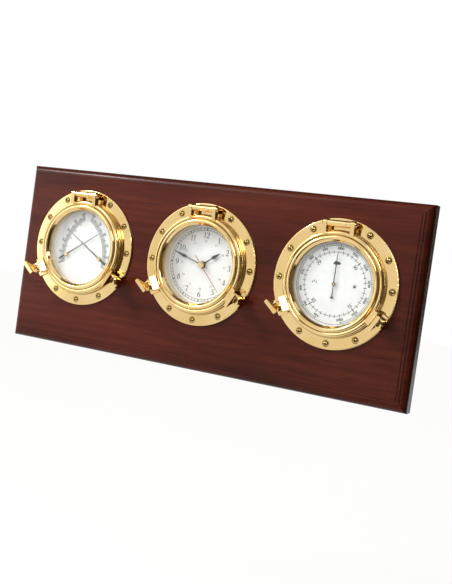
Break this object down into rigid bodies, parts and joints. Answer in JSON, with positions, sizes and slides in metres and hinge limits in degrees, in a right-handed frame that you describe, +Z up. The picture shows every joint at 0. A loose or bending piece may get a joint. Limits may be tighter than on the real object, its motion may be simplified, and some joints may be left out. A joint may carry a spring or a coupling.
{
  "type": "thermometer hygrometer clock",
  "caption": "Wall plaque weather station: moulded hardwood board carrying brass porthole comfort meter, quartz clock and aneroid barometer with hinged, dogged bezels.",
  "frame": {"origin": "on the flat back of the board, midway between the seats of the two hanging slots, 24 mm below the top edge", "axes": "+Z up, the dials face -Y, +Y points into the wall, +X to the viewer's right"},
  "size_m": [0.513, 0.0524, 0.216],
  "materials": {
    "mahogany": "stained and lacquered hardwood, satin",
    "polished_brass": "polished and lacquered cast brass",
    "case_brass": "drawn brass, plain finish",
    "dial_white": "white enamel with printed scales",
    "clear_glass": "flat mineral glass",
    "black_hands": "black lacquered sheet metal",
    "red_hand": "red lacquered sheet metal",
    "movement_plastic": "black moulded plastic",
    "gear_plastic": "natural moulded acetal",
    "steel": "zinc plated or plain steel",
    "copper_coil": "enamelled copper winding and bimetal strip",
    "cell_jacket": "plain printed steel jacket"
  },
  "bodies": {
    "plaque": {"plaque_board": "mahogany", "keyhole_plates": "steel", "keyhole_screws": "steel", "comfort_base_ring": "polished_brass", "comfort_flange_screws": "polished_brass", "comfort_case": "case_brass", "comfort_hinge_pin": "polished_brass", "comfort_dial": "dial_white", "clock_base_ring": "polished_brass", "clock_flange_screws": "polished_brass", "clock_case": "case_brass", "clock_hinge_pin": "polished_brass", "clock_dial": "dial_white", "barometer_base_ring": "polished_brass", "barometer_flange_screws": "polished_brass", "barometer_case": "case_brass", "barometer_hinge_pin": "polished_brass", "barometer_dial": "dial_white", "clock_movement_case": "movement_plastic", "clock_movement_lid": "movement_plastic", "clock_motor": "copper_coil", "clock_battery": "cell_jacket", "clock_dial_nut": "polished_brass", "comfort_temperature_coil": "copper_coil", "comfort_humidity_coil": "copper_coil", "comfort_coil_brackets": "steel", "barometer_capsule": "steel", "barometer_bridge": "case_brass"},
    "comfort_glass_frame": {"comfort_bezel": "polished_brass", "comfort_glass": "clear_glass", "comfort_glass_ring": "polished_brass"},
    "comfort_left_wing_screw": {"comfort_left_dog": "polished_brass"},
    "comfort_right_wing_screw": {"comfort_right_dog": "polished_brass"},
    "clock_glass_frame": {"clock_bezel": "polished_brass", "clock_glass": "clear_glass", "clock_glass_ring": "polished_brass"},
    "clock_left_wing_screw": {"clock_left_dog": "polished_brass"},
    "clock_right_wing_screw": {"clock_right_dog": "polished_brass"},
    "barometer_glass_frame": {"barometer_bezel": "polished_brass", "barometer_glass": "clear_glass", "barometer_glass_ring": "polished_brass"},
    "barometer_left_wing_screw": {"barometer_left_dog": "polished_brass"},
    "barometer_right_wing_screw": {"barometer_right_dog": "polished_brass"},
    "minute_train": {"clock_minute_hand": "black_hands", "clock_minute_pinion": "gear_plastic"},
    "hour_train": {"clock_hour_hand": "black_hands", "clock_hour_wheel": "gear_plastic"},
    "second_train": {"clock_second_hand": "red_hand", "clock_second_arbor": "polished_brass"},
    "setting_train": {"clock_setting_wheel": "gear_plastic"},
    "temperature_needle_arm": {"comfort_temperature_needle": "black_hands", "comfort_temperature_arbor": "polished_brass"},
    "humidity_needle_arm": {"comfort_humidity_needle": "black_hands", "comfort_humidity_arbor": "polished_brass"},
    "barometer_hand": {"barometer_pointer": "black_hands", "barometer_arbor": "polished_brass"},
    "barometer_sector_arm": {"barometer_sector": "case_brass"}
  },
  "joints": [
    {"name": "comfort_bezel_swing", "type": "hinge", "parent": "plaque", "child": "comfort_glass_frame", "pos_m": [-0.163, -0.0332, -0.007], "axis": [-1, 0, 0], "range_deg": [0, 110]},
    {"name": "comfort_left_dog_turn", "type": "hinge", "parent": "comfort_glass_frame", "child": "comfort_left_wing_screw", "pos_m": [-0.22016, -0.035, -0.1034], "axis": [0, -1, 0], "continuous": true},
    {"name": "comfort_right_dog_turn", "type": "hinge", "parent": "comfort_glass_frame", "child": "comfort_right_wing_screw", "pos_m": [-0.10584, -0.035, -0.1034], "axis": [0, -1, 0], "continuous": true},
    {"name": "clock_bezel_swing", "type": "hinge", "parent": "plaque", "child": "clock_glass_frame", "pos_m": [0, -0.0332, -0.007], "axis": [-1, 0, 0], "range_deg": [0, 110]},
    {"name": "clock_left_dog_turn", "type": "hinge", "parent": "clock_glass_frame", "child": "clock_left_wing_screw", "pos_m": [-0.05716, -0.035, -0.1034], "axis": [0, -1, 0], "continuous": true},
    {"name": "clock_right_dog_turn", "type": "hinge", "parent": "clock_glass_frame", "child": "clock_right_wing_screw", "pos_m": [0.05716, -0.035, -0.1034], "axis": [0, -1, 0], "continuous": true},
    {"name": "barometer_bezel_swing", "type": "hinge", "parent": "plaque", "child": "barometer_glass_frame", "pos_m": [0.163, -0.0332, -0.007], "axis": [-1, 0, 0], "range_deg": [0, 110]},
    {"name": "barometer_left_dog_turn", "type": "hinge", "parent": "barometer_glass_frame", "child": "barometer_left_wing_screw", "pos_m": [0.10584, -0.035, -0.1034], "axis": [0, -1, 0], "continuous": true},
    {"name": "barometer_right_dog_turn", "type": "hinge", "parent": "barometer_glass_frame", "child": "barometer_right_wing_screw", "pos_m": [0.22016, -0.035, -0.1034], "axis": [0, -1, 0], "continuous": true},
    {"name": "minute_turn", "type": "hinge", "parent": "plaque", "child": "minute_train", "pos_m": [0, -0.0156, -0.0704], "axis": [0, 1, 0], "continuous": true},
    {"name": "hour_turn", "type": "hinge", "parent": "plaque", "child": "hour_train", "pos_m": [0, -0.0156, -0.0704], "axis": [0, 1, 0], "continuous": true},
    {"name": "second_turn", "type": "hinge", "parent": "plaque", "child": "second_train", "pos_m": [0, -0.0156, -0.0704], "axis": [0, 1, 0], "continuous": true},
    {"name": "setting_knob_turn", "type": "hinge", "parent": "plaque", "child": "setting_train", "pos_m": [0, -0.002, -0.0604], "axis": [0, 1, 0], "continuous": true},
    {"name": "temperature_needle_turn", "type": "hinge", "parent": "plaque", "child": "temperature_needle_arm", "pos_m": [-0.139, -0.0204, -0.0813], "axis": [0, -1, 0], "range_deg": [-27, 22], "stiffness_Nm_per_rad": 0.001},
    {"name": "humidity_needle_turn", "type": "hinge", "parent": "plaque", "child": "humidity_needle_arm", "pos_m": [-0.187, -0.0204, -0.0813], "axis": [0, -1, 0], "range_deg": [-24, 25], "stiffness_Nm_per_rad": 0.001},
    {"name": "barometer_pointer_turn", "type": "hinge", "parent": "plaque", "child": "barometer_hand", "pos_m": [0.163, -0.0233, -0.0704], "axis": [0, -1, 0], "range_deg": [-155, 155], "stiffness_Nm_per_rad": 0.0005},
    {"name": "barometer_sector_swing", "type": "hinge", "parent": "plaque", "child": "barometer_sector_arm", "pos_m": [0.163, -0.014, -0.0924], "axis": [0, -1, 0], "range_deg": [-16, 16]}
  ],
  "couplings": [
    {"joint": "hour_turn", "follows": "minute_turn", "ratio": 0.083333},
    {"joint": "second_turn", "follows": "minute_turn", "ratio": 60},
    {"joint": "setting_knob_turn", "follows": "minute_turn", "ratio": -0.33333},
    {"joint": "barometer_sector_swing", "follows": "barometer_pointer_turn", "ratio": -0.1}
  ]
}
